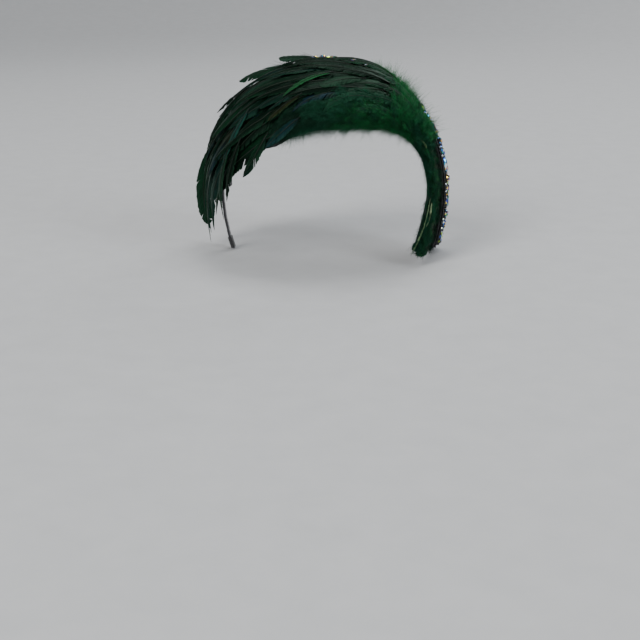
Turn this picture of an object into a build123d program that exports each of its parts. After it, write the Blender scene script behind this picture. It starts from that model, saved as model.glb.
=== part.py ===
"""Feathered headband fascinator, in millimetres.

The frame: +Z up, the wearer looks along -Y, +X is the wearer's left. The origin lies midway
between the two lower ends of the headband. Every layer follows one head form, an ellipsoid,
and a place on it is given by three numbers: the angle round the arch (0 at the crown, plus
towards the wearer's left), the depth (minus towards the face) and the lift off the hair.
"""
from build123d import *
import os
from math import acos, ceil, cos, degrees, pi, radians, sin, sqrt

# Head form, over the hair
HALF_WIDTH = 87.0
HALF_DEPTH = 103.0
CENTRE_HEIGHT = 50.0
CROWN_RISE = 94.0
SIDE_DROP = 120.0
END_ANGLE = degrees(acos(-CENTRE_HEIGHT / SIDE_DROP))

# Headband
BAND_WIDTH = 9.0
BAND_THICKNESS = 2.4
CORE_WIDTH = 6.0
CORE_THICKNESS = 0.8
BAND_FOOT = 1.0
CORE_FOOT = 4.0
TIP_HEIGHT = 9.0
TIP_WALL = 0.3
THREAD = 0.25
THREAD_SLACK = 0.05
STITCH_ANGLES = (-86, 104)
STITCHES = 14
BEYOND = 400.0  # wider than the whole headpiece, for cutting

# Base: its layers as (inner lift, outer lift), its ends, and its front and back edges
LINING_LIFT = (2.8, 3.6)
SHELL_LIFT = (3.6, 5.2)
BINDING_FABRIC = 0.35
BINDING_LEG = 5.0
EDGE_STATIONS = 52
WIRE_RADIUS = 0.6
WIRE_INSET = 0.9
SHELL_INSET = 1.6
BASE_LEFT = 112.0
BASE_RIGHT = -92.0
FRONT_EDGE = [(118, -62), (100, -57), (82, -46), (70, -45), (58, -50), (40, -65), (25, -76),
              (0, -82), (-38, -80), (-53, -71), (-75, -48), (-92, -30), (-118, -24)]
BACK_EDGE = [(118, 4), (100, 8), (90, 11), (60, 18), (30, 26), (0, 31), (-45, 34), (-92, 38),
             (-118, 38)]

# Jewelled trim along the back edge
TRIM_LINE = [(118, -8), (100, -4), (90, -1), (60, 6), (30, 14), (0, 19), (-30, 22)]
TRIM_START = 111.0
TRIM_END = -15.0
TAPE_LIFT = (5.7, 8.8)
TAPE_WIDTH = 14.0
BACKING_LIFT = (8.9, 10.9)
BACKING_WIDTH = 21.0
STONE_LIFT = 11.0
CELL_LENGTH = 15.25
CELL_END_ROOM = 10.0
BEAD_RADIUS = 1.0
BEAD_LENGTH = 1.7
BEAD_BORE = 0.35
BEAD_STEP = 1.85

# Coque feather rows, top layer first: root angle, tip angle, number, width
COQUE_ROWS = [(52, 0, 6, 17), (42, -20, 7, 18), (30, -42, 8, 18),
              (15, -62, 9, 18), (0, -82, 9, 18), (-22, -102, 8, 17)]
ROOT_LIFT = 6.6
CLIMB_PER_DEGREE = 0.142
VANE_THICKNESS = 0.4
SHAFT_RADIUS = 0.55
VANE_STATIONS = 8
VANE_WIDEST = 0.62
TIP_FLARE = 5.0

# Down: the highest lift of the crown pad at its right and left ends, and of the other two pads
CROWN_DOWN_TOP = (20.0, 13.5)
SIDE_DOWN_TOP = 7.9
FRONT_DOWN_TOP = 9.5
DOWN_FLOOR = 5.65

os.makedirs("parts", exist_ok=True)


def save(name, solids):
    """Writes one sub-part, of one or more separate solids."""
    solids = list(solids)
    shape = solids[0] if len(solids) == 1 else Compound(children=solids)
    export_step(shape, f"parts/{name}.step")


def seat(angle, depth, lift=0.0):
    """The place at an angle, a depth and a lift on the head form.

    All the places at one angle lie in one plane through the head's long axis.
    """
    rise = CROWN_RISE if abs(angle) < 90 else SIDE_DROP
    spoke = Vector(HALF_WIDTH * sin(radians(angle)), 0, rise * cos(radians(angle)))
    ring = sqrt(1 - (depth / (HALF_DEPTH + lift)) ** 2)
    place = spoke.normalized() * (ring * (spoke.length + lift))
    return place + Vector(0, depth, CENTRE_HEIGHT)


def outward(angle, depth, lift):
    """The unit normal of the head form there."""
    along = seat(angle + 0.5, depth, lift) - seat(angle - 0.5, depth, lift)
    back = seat(angle, depth + 0.5, lift) - seat(angle, depth - 0.5, lift)
    return along.cross(back).normalized()


def smooth(table, angle):
    """A value from a table of (angle, value), eased through its points without overshoot."""
    rows = sorted(table)
    angle = min(max(angle, rows[0][0]), rows[-1][0])
    slopes = [(b[1] - a[1]) / (b[0] - a[0]) for a, b in zip(rows, rows[1:])]
    ends = [slopes[0]]
    ends += [0.0 if p * q <= 0 else 2 * p * q / (p + q) for p, q in zip(slopes, slopes[1:])]
    ends += [slopes[-1]]
    for i, (low, high) in enumerate(zip(rows, rows[1:])):
        if angle <= high[0]:
            break
    span = high[0] - low[0]
    t = (angle - low[0]) / span
    return ((2 * t**3 - 3 * t**2 + 1) * low[1] + (t**3 - 2 * t**2 + t) * span * ends[i]
            + (3 * t**2 - 2 * t**3) * high[1] + (t**3 - t**2) * span * ends[i + 1])


def front(angle):
    return smooth(FRONT_EDGE, angle)


def back(angle):
    return smooth(BACK_EDGE, angle)


def trim(angle):
    return smooth(TRIM_LINE, angle)


def spread(first, last, count):
    """Evenly spaced numbers from first to last."""
    return [first + (last - first) * i / (count - 1) for i in range(count)]


def ruled(rings):
    """A closed solid through a row of polygons, each a list of points."""
    return Solid.make_loft([Wire.make_polygon(ring) for ring in rings], ruled=True)


def faceted(rings):
    """A closed solid with flat triangles between a row of polygons, for long thin wires."""
    facets = [rings[0], rings[-1]]
    sides = len(rings[0])
    for near, far in zip(rings, rings[1:]):
        for i in range(sides):
            n = (i + 1) % sides
            facets += [[near[i], near[n], far[i]], [near[n], far[n], far[i]]]
    return Solid(Shell([Face(Wire.make_polygon(points)) for points in facets]))


def layer(start, end, low_edge, high_edge, lifts, step=6.0, across=11):
    """A thin curved layer between two edges, from one angle to another."""
    rings = []
    for angle in spread(start, end, ceil(abs(end - start) / step) + 1):
        depths = spread(low_edge(angle), high_edge(angle), across)
        inner = [seat(angle, depth, lifts[0]) for depth in depths]
        outer = [seat(angle, depth, lifts[1]) for depth in reversed(depths)]
        rings.append(inner + outer)
    return ruled(rings)


# --- Headband -------------------------------------------------------------------------------

def arch(low_lift, high_lift, width, foot):
    """A flat strip bent over the head, from ear to ear, cut level at the foot."""
    rings = []
    for rise, low, high in ((CROWN_RISE, CENTRE_HEIGHT, BEYOND),
                            (SIDE_DROP, foot, CENTRE_HEIGHT)):
        ring = Ellipse(HALF_WIDTH + high_lift, rise + high_lift)
        ring -= Ellipse(HALF_WIDTH + low_lift, rise + low_lift)
        middle = (low + high) / 2 - CENTRE_HEIGHT
        rings.append(ring & Pos(0, middle) * Rectangle(BEYOND, high - low))
    strip = extrude(rings[0] + rings[1], width / 2, both=True)
    return Pos(0, 0, CENTRE_HEIGHT) * Rot(90, 0, 0) * strip


def headband():
    core_low = (BAND_THICKNESS - CORE_THICKNESS) / 2
    core = arch(core_low, core_low + CORE_THICKNESS, CORE_WIDTH, CORE_FOOT)
    wrap = arch(0, BAND_THICKNESS, BAND_WIDTH, BAND_FOOT)
    tips = arch(-TIP_WALL, BAND_THICKNESS + TIP_WALL, BAND_WIDTH + 2 * TIP_WALL, 0)
    tips &= Pos(0, 0, TIP_HEIGHT / 2) * Box(BEYOND, BEYOND, TIP_HEIGHT)
    tips -= wrap
    save("headband_core", core.solids())
    save("headband_wrap", (wrap - core).solids())
    for tip in tips.solids():
        side = "left" if tip.center().X > 0 else "right"
        save(f"headband_tip_{side}", [tip])


def band_stitch(angle):
    """One thread bar: over the band's underside and up into the lining at both of its edges."""
    inset = THREAD + THREAD_SLACK
    reach = BAND_WIDTH / 2 + inset
    low = seat(angle, -reach, -inset)
    normal = outward(angle, 0, 0)
    rise = LINING_LIFT[0] + THREAD
    place = Plane(origin=low, x_dir=(0, 1, 0), z_dir=normal)
    bar = Pos(reach, 0, 0) * Box(2 * reach + 2 * THREAD, 2 * THREAD, 2 * THREAD)
    leg = Pos(0, 0, rise / 2) * Box(2 * THREAD, 2 * THREAD, rise)
    return (place * (bar + leg + Pos(2 * reach, 0, 0) * leg)).solid()


def headband_stitches():
    save("headband_stitches", [band_stitch(a) for a in spread(*STITCH_ANGLES, STITCHES)])


# --- Base -----------------------------------------------------------------------------------

def edge_rings(edge, side, profile):
    """Sections of a profile of (inset, lift) points all along one edge of the base."""
    return [[seat(angle, edge(angle) + side * inset, lift) for inset, lift in profile]
            for angle in spread(BASE_LEFT, BASE_RIGHT, EDGE_STATIONS)]


def end_loft(end, side, profile):
    """The same profile run across one end of the base, from its front edge to its back."""
    per_degree = radians(1) * HALF_WIDTH
    rings = []
    for depth in spread(front(end) + BINDING_LEG + 0.3, back(end) - BINDING_LEG - 0.3, 6):
        rings.append([seat(end + side * inset / per_degree, depth, lift)
                      for inset, lift in profile])
    return ruled(rings)


def base():
    inset = SHELL_INSET
    rim = degrees(inset / HALF_WIDTH)
    for name, lifts in (("base_shell", SHELL_LIFT), ("base_lining", LINING_LIFT)):
        solid = layer(BASE_LEFT - rim, BASE_RIGHT + rim, lambda a: front(a) + inset,
                      lambda a: back(a) - inset, lifts)
        save(name, [solid])

    middle = sum(SHELL_LIFT) / 2
    wire = [(WIRE_INSET + WIRE_RADIUS * cos(k * pi / 3), middle + WIRE_RADIUS * sin(k * pi / 3))
            for k in range(6)]
    save("base_wire", [faceted(edge_rings(front, 1, wire)), faceted(edge_rings(back, -1, wire))])

    low, high, cloth, leg = LINING_LIFT[0], SHELL_LIFT[1], BINDING_FABRIC, BINDING_LEG
    fold = [(0, low - cloth), (leg, low - cloth), (leg, low), (cloth, low),
            (cloth, high), (leg, high), (leg, high + cloth), (0, high + cloth)]
    end_fold = [(0.2 + x, lift) for x, lift in fold]
    save("base_binding", [ruled(edge_rings(front, 1, fold)), ruled(edge_rings(back, -1, fold)),
                          end_loft(BASE_LEFT, -1, end_fold), end_loft(BASE_RIGHT, 1, end_fold)])


# --- Feathers -------------------------------------------------------------------------------

def blade(route, width, tilt=0.0, tip_share=0.3, root_share=0.3):
    """One feather along a route of (angle, depth, lift): its vane and its shaft under it.

    The vane widens from the root to two thirds of its length and closes in a rounded tip. The
    tilt, in degrees, leans it sideways so that neighbours overlap like shingles.
    """
    middles = [seat(*place) for place in route]
    vane_rings = []
    shaft_rings = []
    for i, (place, middle) in enumerate(zip(route, middles)):
        t = i / (len(route) - 1)
        ahead = middles[min(i + 1, len(route) - 1)] - middles[max(i - 1, 0)]
        normal = outward(*place).rotate(Axis((0, 0, 0), ahead), tilt)
        side = ahead.cross(normal).normalized()
        normal = side.cross(ahead).normalized()
        swell = root_share + (1 - root_share) * sin(min(t / VANE_WIDEST, 1) * pi / 2)
        closing = max(t - VANE_WIDEST, 0) / (1 - VANE_WIDEST)
        close = tip_share + (1 - tip_share) * cos(closing * pi / 2)
        half = side * (width / 2 * swell * close)
        thick = normal * VANE_THICKNESS
        vane_rings.append([middle - half, middle + half, middle + half + thick,
                           middle - half + thick])
        radius = SHAFT_RADIUS * (1 - 0.72 * t)
        heart = middle - normal * (radius + 0.02)
        shaft_rings.append([heart + side * (radius * cos(k * pi / 3))
                            + normal * (radius * sin(k * pi / 3)) for k in range(6)])
    return ruled(vane_rings), ruled(shaft_rings)


def field_depth(angle, share):
    """The depth at a share of the feathered field, from its front edge to its rear.

    Its rear is the trim, and past the trim's end the back edge of the base. Its front leaves
    room for the downy edge, and past that it covers the binding.
    """
    free = min(max((-angle - 15) / 25, 0), 1)
    under_trim = trim(angle) - BACKING_WIDTH / 2 - 1
    rear = under_trim + (back(angle) - 3 - under_trim) * free
    near = front(angle) + 6 - 4 * free
    return near + (rear - near) * share


def coque_rows():
    for row, (root, tip, count, width) in enumerate(COQUE_ROWS):
        vanes = []
        shafts = []
        for i in range(count):
            share = (i + 0.5) / count
            reach = tip + 5 * (i * 7 % 5 - 2) / 2
            route = []
            for angle in spread(root, reach, VANE_STATIONS):
                t = (root - angle) / (root - reach)
                lift = ROOT_LIFT + 0.55 * (i % 2) + CLIMB_PER_DEGREE * (root - angle)
                lift += TIP_FLARE * t**4
                route.append((angle, field_depth(angle, share), lift))
            vane, shaft = blade(route, width, tilt=5)
            vanes.append(vane)
            shafts.append(shaft)
        save(f"coque_vanes_row_{row + 1}", vanes)
        save(f"coque_shafts_row_{row + 1}", shafts)


def curve_route(start, bend, end, count=VANE_STATIONS):
    """A route through three places: a quadratic curve in angle, depth and lift."""
    return [tuple((1 - t) ** 2 * a + 2 * t * (1 - t) * b + t * t * c
                  for a, b, c in zip(start, bend, end)) for t in spread(0, 1, count)]


def drop_feathers():
    """The single feathers that hang lowest at the wearer's right, and one over the forehead."""
    drops = [
        (curve_route((-56, 24, 17.5), (-88, 34, 36), (-106, 26, 17)), 21, 0.42),
        (curve_route((-52, -34, 22), (-84, -42, 26), (-105, -25, 7)), 16, 0.1),
        (curve_route((-50, -10, 23), (-86, -14, 30), (-101, -8, 16)), 18, 0.3),
        (curve_route((-36, -61, 13.5), (-58, -66, 15), (-74, -60, 7)), 13, 0.2),
    ]
    made = [blade(route, width, tip_share=tip) for route, width, tip in drops]
    save("drop_feather_vanes", [vane for vane, _ in made])
    save("drop_feather_shafts", [shaft for _, shaft in made])


def side_hackles():
    """Short hackles down the wearer's left side, pointing forward and down."""
    vanes = []
    shafts = []
    for i, root in enumerate(spread(56, 106, 12)):
        tip = root + 9
        start = (root, trim(root) - BACKING_WIDTH / 2 - 1, 8.6 + 0.6 * (i % 2))
        end = (tip, front(min(tip, 114)) - 4, 9.5)
        bend = (root + 3, (start[1] + end[1]) / 2, 11.5 + 0.6 * (i % 2))
        vane, shaft = blade(curve_route(start, bend, end, 5), 7.5, tilt=4)
        vanes.append(vane)
        shafts.append(shaft)
    save("side_hackle_vanes", vanes)
    save("side_hackle_shafts", shafts)


def pad(start, end, low_edge, high_edge, low_lift, high_lift, count):
    """A soft crowned pad: thin along its edges and thickest along its middle."""
    rings = []
    for angle in spread(start, end, count):
        t = (angle - start) / (end - start)
        crown = sin(pi * (0.06 + 0.88 * t)) ** 0.5
        shares = spread(0, 1, 7)
        depths = [low_edge(angle) + (high_edge(angle) - low_edge(angle)) * s for s in shares]
        low = low_lift(angle)
        tall = high_lift(angle) - low
        top = [seat(angle, d, low + tall * crown * (0.25 + 0.75 * sin(pi * s) ** 0.6))
               for s, d in zip(shares, depths)]
        floor = [seat(angle, d, low) for d in reversed(depths)]
        rings.append(top + floor)
    return ruled(rings)


def fluff():
    rear = lambda a: trim(a) - BACKING_WIDTH / 2 - 0.5
    left, right = 68, 36
    fall = (CROWN_DOWN_TOP[0] - CROWN_DOWN_TOP[1]) / (left - right)
    save("crown_fluff", [pad(left, right, lambda a: front(a) - 2, rear,
                             lambda a: 10.2 + (left - a) * 0.07,
                             lambda a: CROWN_DOWN_TOP[0] - fall * (a - right), 9)])
    save("side_fluff", [pad(111, 57, lambda a: front(a) - 2, rear,
                            lambda a: DOWN_FLOOR, lambda a: SIDE_DOWN_TOP, 15)])
    save("front_edge_down", [pad(44, -34, lambda a: front(a) - 4, lambda a: front(a) + 5.5,
                                 lambda a: DOWN_FLOOR, lambda a: FRONT_DOWN_TOP, 19)])


# --- Jewelled trim --------------------------------------------------------------------------

def trim_strips():
    for name, width, lifts in (("feather_root_tape", TAPE_WIDTH, TAPE_LIFT),
                               ("trim_backing", BACKING_WIDTH, BACKING_LIFT)):
        half = width / 2
        save(name, [layer(TRIM_START, TRIM_END, lambda a: trim(a) - half,
                          lambda a: trim(a) + half, lifts, 4, 5)])


def navette_outline(length, width):
    """A pointed oval: two arcs that meet at its ends."""
    return lambda turn: (length / 2 * cos(turn), width / 2 * sin(turn) * abs(sin(turn)) ** 0.35)


def pear_outline(length, width):
    """A drop: round at one end and drawn out to a point at the other."""
    def point(turn):
        taper = ((1 - cos(turn)) / 2) ** 0.55
        return length / 2 * cos(turn), width / 2 * sin(turn) * taper * 1.25
    return point


def round_outline(size):
    return lambda turn: (size / 2 * cos(turn), size / 2 * sin(turn))


def ring_points(outline, share, height, count, offset=0.0):
    points = [outline(2 * pi * (i + offset) / count) for i in range(count)]
    return [Vector(x * share, y * share, height) for x, y in points]


def faceted_stone(outline, deep, tall, sides=8):
    """A cut stone: a table, stars, kites and girdle facets above, and a pointed pavilion below.

    Its girdle lies at height 0.
    """
    table = ring_points(outline, 0.52, tall, sides)
    kite = ring_points(outline, 0.80, tall * 0.62, sides, 0.5)
    girdle = ring_points(outline, 1.0, 0.0, 2 * sides)
    culet = Vector(0, 0, -deep)
    facets = [table]
    for i in range(sides):
        n = (i + 1) % sides
        facets.append([table[i], kite[i], table[n]])
        facets.append([kite[i - 1], kite[i], table[i]])
        facets.append([kite[i - 1], girdle[2 * i], kite[i]])
        facets.append([kite[i], girdle[2 * i], girdle[2 * i + 1]])
        facets.append([kite[i], girdle[2 * i + 1], girdle[(2 * i + 2) % (2 * sides)]])
    for i in range(2 * sides):
        facets.append([girdle[i - 1], culet, girdle[i]])
    return Solid(Shell([Face(Wire.make_polygon(points)) for points in facets]))


def prism(points, low, high):
    face = Face(Wire.make_polygon([Vector(p.X, p.Y, low) for p in points]))
    return extrude(face, high - low, dir=(0, 0, 1))


def setting(outline, deep, claw_turns, sides=16):
    """A cup with a floor, an open pocket for the stone, and claws bent in over its girdle."""
    outer = ring_points(outline, 1.0, 0, sides)
    grow = 0.45
    wall = [p + p.normalized() * grow for p in outer]
    pocket = [p + p.normalized() * 0.06 for p in outer]
    cup = prism(wall, -deep - 0.5, 0.0) - prism(pocket, -deep - 0.1, 1.0)
    for turn in claw_turns:
        x, y = outline(turn)
        edge = Vector(x, y, 0)
        heading = edge.normalized()
        foot = Plane(origin=edge + heading * 0.3 - Vector(0, 0, 0.6), x_dir=heading,
                     z_dir=(-heading.X * 0.16, -heading.Y * 0.16, 1))
        cup += foot * Pos(0.12, 0, 0.75) * Cylinder(0.33, 1.5)
    return cup.solid()


def trim_run(angle):
    """How many millimetres of the trim one degree takes."""
    near = seat(angle - 0.5, trim(angle), STONE_LIFT)
    return (seat(angle + 0.5, trim(angle), STONE_LIFT) - near).length


def along_trim(room, step):
    """Angles along the trim, one step of its length apart, with room left at both ends."""
    angles = []
    angle = TRIM_START - room / trim_run(TRIM_START)
    while angle > TRIM_END + room / trim_run(TRIM_END):
        angles.append(angle)
        angle -= step / trim_run(angle)
    return angles


def trim_place(angle, along, across, twist, lean, lift):
    """The location on the trim: a shift in mm along and across it, then a twist and a lean."""
    at = angle + along / trim_run(angle)
    depth = trim(at) + across
    heading = seat(at + 0.5, depth, lift) - seat(at - 0.5, depth, lift)
    plane = Plane(origin=seat(at, depth, lift), x_dir=heading, z_dir=outward(at, depth, lift))
    return plane.location * Location((0, 0, 0), (lean, 0, twist))


# Each cell of the trim: kind, along, across, twist, lean, extra height
CELL = [
    ("navette", 0.0, 3.9, 6, -9, 0.0),
    ("round", -4.5, -4.0, 10, 8, 0.3),
    ("pear", 4.1, -4.1, -12, 10, 0.0),
    ("chaton", 7.9, 7.0, 0, -14, 0.4),
    ("chaton", 8.3, 1.1, 30, 0, 0.9),
    ("chaton", -0.3, -8.3, 0, 16, 0.2),
]
STONES = {
    # kind: outline, pavilion depth, crown height, claw turns
    "navette": (navette_outline(13.5, 6.4), 2.3, 2.2, (0.35, pi - 0.35, pi + 0.35, -0.35)),
    "pear": (pear_outline(9.4, 6.4), 2.3, 2.2, (0.6, 2.2, -2.2, -0.6)),
    "round": (round_outline(7.2), 2.5, 2.4, (pi / 4, 3 * pi / 4, -3 * pi / 4, -pi / 4)),
    "chaton": (round_outline(2.7), 1.0, 0.9, (0.8, 2.36, -2.36, -0.8)),
}


def jewels():
    models = {}
    for kind, (outline, deep, tall, claws) in STONES.items():
        sides = 6 if kind == "chaton" else 8
        models[kind] = (faceted_stone(outline, deep, tall, sides), setting(outline, deep, claws))
    placed = {kind: ([], []) for kind in STONES}
    for cell, angle in enumerate(along_trim(CELL_END_ROOM, CELL_LENGTH)):
        flip = 1 if cell % 2 else -1
        for kind, along, across, twist, lean, extra in CELL:
            lift = STONE_LIFT + STONES[kind][1] + 0.5 + extra
            place = trim_place(angle, along * flip, across * flip, twist, lean * flip, lift)
            for made, model in zip(placed[kind], models[kind]):
                made.append(model.moved(place))
    for kind, (stones, settings) in placed.items():
        save(f"{kind}_crystals", stones)
        save(f"{kind}_settings", settings)


def edge_beads():
    """Seed beads sewn side by side along both edges of the backing."""
    bead = (Cylinder(BEAD_RADIUS, BEAD_LENGTH) - Cylinder(BEAD_BORE, BEAD_LENGTH)).solid()
    beads = []
    for side in (-1, 1):
        for angle in along_trim(BEAD_LENGTH, BEAD_STEP):
            place = trim_place(angle, 0, side * (BACKING_WIDTH / 2 - BEAD_RADIUS), 0, 0,
                               BACKING_LIFT[1] + BEAD_RADIUS + 0.05)
            beads.append(bead.moved(place * Location((0, 0, 0), (0, 90, 0))))
    save("trim_edge_beads", beads)


headband()
headband_stitches()
base()
coque_rows()
drop_feathers()
side_hackles()
fluff()
trim_strips()
jewels()
edge_beads()
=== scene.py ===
"""Looks of the feathered headband fascinator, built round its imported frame.

Metres, +Z up, the wearer looks along -Y and +X is the wearer's left. Every layer follows one
head form. A place on it is an angle round the arch in degrees (0 at the crown, plus towards the
wearer's left), a depth (minus towards the face) and a lift off the hair.
"""
from math import pi

import bpy
import numpy as np
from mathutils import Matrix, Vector


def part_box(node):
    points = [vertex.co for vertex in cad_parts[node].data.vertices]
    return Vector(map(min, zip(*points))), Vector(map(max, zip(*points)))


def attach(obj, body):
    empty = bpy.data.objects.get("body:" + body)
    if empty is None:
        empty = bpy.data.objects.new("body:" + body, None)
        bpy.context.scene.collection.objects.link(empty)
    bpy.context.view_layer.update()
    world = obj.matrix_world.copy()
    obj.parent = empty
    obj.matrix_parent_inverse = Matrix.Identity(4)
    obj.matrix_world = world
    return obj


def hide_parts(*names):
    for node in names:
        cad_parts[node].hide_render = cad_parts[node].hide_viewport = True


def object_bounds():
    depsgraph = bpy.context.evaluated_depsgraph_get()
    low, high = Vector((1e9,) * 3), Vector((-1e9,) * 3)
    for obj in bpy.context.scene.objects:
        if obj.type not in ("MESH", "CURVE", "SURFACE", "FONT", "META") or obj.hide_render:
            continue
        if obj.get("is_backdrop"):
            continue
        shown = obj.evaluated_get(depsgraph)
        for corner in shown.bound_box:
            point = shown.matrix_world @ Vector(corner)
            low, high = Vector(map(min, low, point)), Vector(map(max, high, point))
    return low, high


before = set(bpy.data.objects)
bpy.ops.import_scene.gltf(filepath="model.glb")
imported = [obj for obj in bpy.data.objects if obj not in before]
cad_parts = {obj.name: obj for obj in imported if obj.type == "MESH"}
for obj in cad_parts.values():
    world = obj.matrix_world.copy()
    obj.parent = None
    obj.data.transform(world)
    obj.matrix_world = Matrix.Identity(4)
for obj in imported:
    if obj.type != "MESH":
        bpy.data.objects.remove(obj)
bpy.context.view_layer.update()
MM = 0.001

# Head form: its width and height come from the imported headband, the rest as in the CAD source
BAND_THICKNESS = 2.4 * MM
BAND_WIDTH = 9.0 * MM
CENTRE_HEIGHT = 50.0 * MM
_, band_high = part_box("headband_wrap")
HALF_WIDTH = band_high.x - BAND_THICKNESS
CROWN_RISE = band_high.z - BAND_THICKNESS - CENTRE_HEIGHT
SIDE_DROP = 120.0 * MM
HALF_DEPTH = 103.0 * MM

# Edges of the base and the line of the trim: (angle, depth in millimetres)
FRONT_EDGE = [(118, -62), (100, -57), (82, -46), (70, -45), (58, -50), (40, -65), (25, -76),
              (0, -82), (-38, -80), (-53, -71), (-75, -48), (-92, -30), (-118, -24)]
BACK_EDGE = [(118, 4), (100, 8), (90, 11), (60, 18), (30, 26), (0, 31), (-45, 34), (-92, 38), (-118, 38)]
TRIM_LINE = [(118, -8), (100, -4), (90, -1), (60, 6), (30, 14), (0, 19), (-30, 22)]
BASE_LEFT = 112.0
BASE_RIGHT = -92.0
TRIM_START = 111.0
TRIM_END = -15.0
BACKING_HALF = 10.5 * MM
BACKING_TOP = 10.9 * MM
BEAD_STEP = 1.85 * MM
BEAD_RADIUS = 1.0 * MM
BEAD_HOLE = 0.35 * MM
BEAD_LENGTH = 1.66 * MM
BEAD_SIDES = 12
LINING_LIFT = 2.8 * MM
LINING_INSET = 1.4 * MM
SHELL_TOP = 5.2 * MM
BAND_END = 113.9
BAND_SIDES = 28
BAND_TURN = 11.0 * MM
STITCH_ANGLES = (-86, 104)
STITCHES = 14

# Feathers: rows from the top layer down: root angle, tip angle, count, width in mm, tip flare
# and arch in mm, and how far back over the field the roots start, as a share of it
COQUE_ROWS = [(54, 5, 9, 15, 0.5, 8, 0.48), (45, -18, 10, 16, 2, 2, 0.4), (32, -42, 11, 16, 4, 1, 0.26),
              (16, -61, 12, 16, 5, 0, 0.16), (0, -82, 12, 17, 4, 0, 0.08), (-22, -102, 11, 17, 3, 0, 0.0)]
ROOT_LIFT = 6.6 * MM
CLIMB = 0.1 * MM
LOWEST_TIP = -107.0
VANE_THICKNESS = 0.07 * MM
VANE_ROOT = 0.3
VANE_CUP = 0.16
BARB_PITCH = 0.5 * MM
HACKLE_THICKNESS = 0.06 * MM

# Loose barbs of the down: the segments of each, and its curl and droop as shares of its length
FIBRE_SEGMENTS = 3
FIBRE_CURL = 0.16
FIBRE_DROOP = 0.3


# --- The head form ---

def eased(table):
    """A function that eases through a table of (angle, millimetres) without overshoot."""
    x, y = np.array(sorted(table), float).T
    slope = np.diff(y) / np.diff(x)
    total = slope[:-1] + slope[1:]
    steep = slope[:-1] * slope[1:] > 0
    inner = np.where(steep, 2 * slope[:-1] * slope[1:] / np.where(steep, total, 1), 0)
    ends = np.concatenate([slope[:1], inner, slope[-1:]])

    def value(angle):
        angle = np.clip(angle, x[0], x[-1])
        i = np.clip(np.searchsorted(x, angle) - 1, 0, len(slope) - 1)
        span = x[i + 1] - x[i]
        t = (angle - x[i]) / span
        return MM * ((2 * t**3 - 3 * t**2 + 1) * y[i] + (t**3 - 2 * t**2 + t) * span * ends[i]
                     + (3 * t**2 - 2 * t**3) * y[i + 1] + (t**3 - t**2) * span * ends[i + 1])
    return value


front = eased(FRONT_EDGE)
back = eased(BACK_EDGE)
trim = eased(TRIM_LINE)


def trim_front(angle):
    return trim(angle) - BACKING_HALF


def seat(angle, depth, lift):
    """Places at angles, depths and lifts on the head form, as rows of x, y, z."""
    angle, depth, lift = np.broadcast_arrays(angle, depth, lift)
    turn = np.radians(angle)
    across = HALF_WIDTH * np.sin(turn)
    up = np.where(np.abs(angle) < 90, CROWN_RISE, SIDE_DROP) * np.cos(turn)
    length = np.hypot(across, up)
    ring = np.sqrt(np.clip(1 - (depth / (HALF_DEPTH + lift)) ** 2, 0.02, 1))
    reach = ring * (length + lift) / length
    return np.stack([across * reach, depth, CENTRE_HEIGHT + up * reach], -1)


def unit(rows):
    return rows / np.maximum(np.linalg.norm(rows, axis=-1, keepdims=True), 1e-12)


def run_along(points):
    """The distance along a line of points, at each point."""
    return np.append(0, np.cumsum(np.linalg.norm(np.diff(points, axis=0), axis=1)))


def blunt(wave, power):
    """A sine or cosine made squarer by a power below 1."""
    return np.sign(wave) * np.abs(wave) ** power


def outward(angle, depth, lift):
    """Unit normals of the head form."""
    along = seat(angle + 0.5, depth, lift) - seat(angle - 0.5, depth, lift)
    rear = seat(angle, depth + 0.5 * MM, lift) - seat(angle, depth - 0.5 * MM, lift)
    return unit(np.cross(along, rear))


def field_edges(angle):
    """The front and rear edges of the feathered field: tips hang past the base at the right."""
    free = np.clip((-angle - 15) / 25, 0, 1)
    under_trim = trim_front(angle) - 1 * MM
    rear = under_trim + (back(angle) + 2 * MM - under_trim) * free
    hang = np.interp(-angle, [45, 70, 90, 110], [0, 9, 19, 24])
    return front(angle) + (6 - 7 * free - hang) * MM, rear


def field_depth(angle, share):
    near, rear = field_edges(angle)
    return near + (rear - near) * share


def climb(angle, share, root):
    """How high the feathers lie: they pile up towards the tips, less so along the front."""
    return CLIMB * (root - angle) * (0.32 + 0.68 * np.clip(share / 0.5, 0, 1) ** 0.8)


# --- Meshes ---

def new_piece(name, verts, quads, tris, detail=None):
    """A smooth mesh object from arrays. detail holds a vector per vertex for the materials."""
    verts = np.asarray(verts, np.float32).reshape(-1, 3)
    quads = np.asarray(quads, np.int32).reshape(-1, 4)
    tris = np.zeros((0, 3), np.int32) if tris is None else np.asarray(tris, np.int32)
    mesh = bpy.data.meshes.new(name)
    mesh.vertices.add(len(verts))
    mesh.vertices.foreach_set("co", verts.ravel())
    mesh.loops.add(quads.size + tris.size)
    mesh.loops.foreach_set("vertex_index", np.concatenate([quads.ravel(), tris.ravel()]))
    starts = np.concatenate([np.arange(len(quads)) * 4, quads.size + np.arange(len(tris)) * 3])
    mesh.polygons.add(len(starts))
    mesh.polygons.foreach_set("loop_start", starts.astype(np.int32))
    mesh.update(calc_edges=True)
    mesh.polygons.foreach_set("use_smooth", np.full(len(starts), True))
    if detail is not None:
        layer = mesh.attributes.new("detail", "FLOAT_VECTOR", "POINT")
        layer.data.foreach_set("vector", np.asarray(detail, np.float32).ravel())
    piece = bpy.data.objects.new(name, mesh)
    bpy.context.scene.collection.objects.link(piece)
    return piece


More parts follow.
